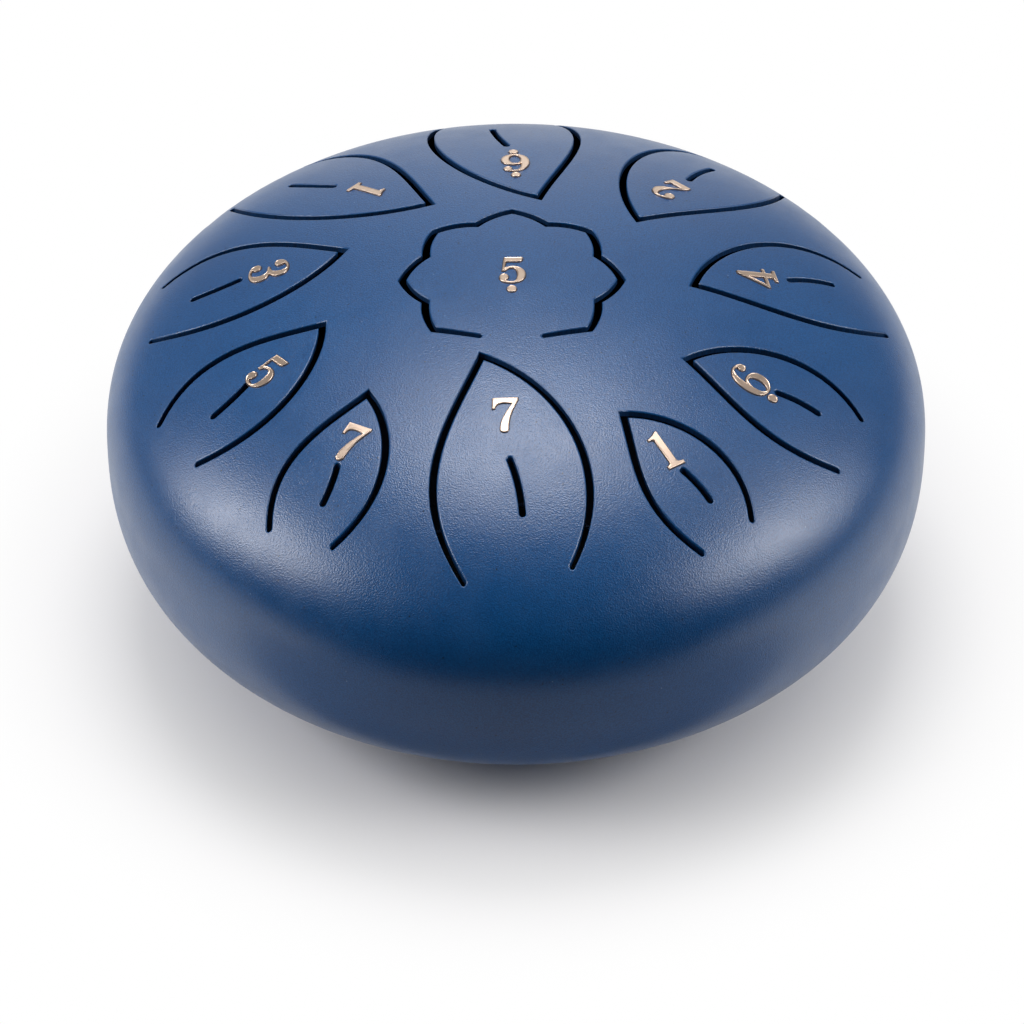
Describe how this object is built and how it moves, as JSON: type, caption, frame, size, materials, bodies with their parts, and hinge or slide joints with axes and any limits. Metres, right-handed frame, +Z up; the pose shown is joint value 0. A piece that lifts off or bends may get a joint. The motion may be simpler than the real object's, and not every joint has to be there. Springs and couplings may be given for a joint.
{
  "type": "steel tongue drum",
  "caption": "Round flattened steel drum with leaf-shaped sprung tongues round a flower-shaped centre tongue, raised metal numerals, a sound hole below and rubber feet.",
  "frame": {"origin": "centre of the footprint, on the surface that the feet stand on", "axes": "+Z up along the drum's axis, -Y towards the player, +X to the player's right"},
  "size_m": [0.155, 0.155, 0.0782],
  "materials": {
    "navy_paint": "satin paint on sheet steel with a fine orange-peel texture",
    "champagne_metal": "polished rose-gold electroformed metal",
    "black_rubber": "matt moulded rubber"
  },
  "bodies": {
    "drum_body": {"upper_shell": "navy_paint", "lower_shell": "navy_paint", "seam_weld": "navy_paint", "foot_front_left": "black_rubber", "foot_front_right": "black_rubber", "foot_back_left": "black_rubber", "foot_back_right": "black_rubber"},
    "low_5": {"tongue_low_5": "navy_paint", "numeral_low_5": "champagne_metal", "dot_low_5": "champagne_metal"},
    "low_6": {"tongue_low_6": "navy_paint", "numeral_low_6": "champagne_metal", "dot_low_6_inner": "champagne_metal", "dot_low_6_outer": "champagne_metal"},
    "low_7": {"tongue_low_7": "navy_paint", "numeral_low_7": "champagne_metal"},
    "note_1": {"tongue_1": "navy_paint", "numeral_1": "champagne_metal"},
    "note_2": {"tongue_2": "navy_paint", "numeral_2": "champagne_metal"},
    "note_3": {"tongue_3": "navy_paint", "numeral_3": "champagne_metal"},
    "note_4": {"tongue_4": "navy_paint", "numeral_4": "champagne_metal"},
    "note_5": {"tongue_5": "navy_paint", "numeral_5": "champagne_metal"},
    "note_6": {"tongue_6": "navy_paint", "numeral_6": "champagne_metal", "dot_6": "champagne_metal"},
    "note_7": {"tongue_7": "navy_paint", "numeral_7": "champagne_metal"},
    "high_1": {"tongue_high_1": "navy_paint", "numeral_high_1": "champagne_metal"}
  },
  "joints": [
    {"name": "flex_low_5", "type": "hinge", "parent": "drum_body", "child": "low_5", "pos_m": [-0.0008, -0.01528, 0.0758], "axis": [-1, 0, -0.0052], "range_deg": [-0.6, 0.6], "stiffness_Nm_per_rad": 30},
    {"name": "flex_low_6", "type": "hinge", "parent": "drum_body", "child": "low_6", "pos_m": [-0.00412, 0.06853, 0.05801], "axis": [0.9791, 0.1751, -0.1032], "range_deg": [-0.6, 0.6], "stiffness_Nm_per_rad": 30},
    {"name": "flex_low_7", "type": "hinge", "parent": "drum_body", "child": "low_7", "pos_m": [0.00032, -0.06537, 0.0606], "axis": [-0.9871, -0.1324, -0.0898], "range_deg": [-0.6, 0.6], "stiffness_Nm_per_rad": 30},
    {"name": "flex_1", "type": "hinge", "parent": "drum_body", "child": "note_1", "pos_m": [-0.04872, 0.04943, 0.05739], "axis": [0.6177, 0.7781, -0.1138], "range_deg": [-0.6, 0.6], "stiffness_Nm_per_rad": 30},
    {"name": "flex_2", "type": "hinge", "parent": "drum_body", "child": "note_2", "pos_m": [0.04389, 0.05375, 0.05744], "axis": [0.8364, -0.5377, -0.1059], "range_deg": [-0.6, 0.6], "stiffness_Nm_per_rad": 30},
    {"name": "flex_3", "type": "hinge", "parent": "drum_body", "child": "note_3", "pos_m": [-0.06844, 0.01004, 0.05771], "axis": [-0.0292, 0.987, -0.1581], "range_deg": [-0.6, 0.6], "stiffness_Nm_per_rad": 30},
    {"name": "flex_4", "type": "hinge", "parent": "drum_body", "child": "note_4", "pos_m": [0.06748, 0.0136, 0.05802], "axis": [0.3216, -0.9398, -0.1155], "range_deg": [-0.6, 0.6], "stiffness_Nm_per_rad": 30},
    {"name": "flex_5", "type": "hinge", "parent": "drum_body", "child": "note_5", "pos_m": [-0.06226, -0.02797, 0.05861], "axis": [-0.5539, 0.8202, -0.143], "range_deg": [-0.6, 0.6], "stiffness_Nm_per_rad": 30},
    {"name": "flex_6", "type": "hinge", "parent": "drum_body", "child": "note_6", "pos_m": [0.06146, -0.02815, 0.05919], "axis": [-0.2951, -0.95, -0.1022], "range_deg": [-0.6, 0.6], "stiffness_Nm_per_rad": 30},
    {"name": "flex_7", "type": "hinge", "parent": "drum_body", "child": "note_7", "pos_m": [-0.03885, -0.05488, 0.0595], "axis": [-0.898, 0.4173, -0.1392], "range_deg": [-0.6, 0.6], "stiffness_Nm_per_rad": 30},
    {"name": "flex_high_1", "type": "hinge", "parent": "drum_body", "child": "high_1", "pos_m": [0.03804, -0.05449, 0.06013], "axis": [-0.7439, -0.6627, -0.0868], "range_deg": [-0.6, 0.6], "stiffness_Nm_per_rad": 30}
  ]
}
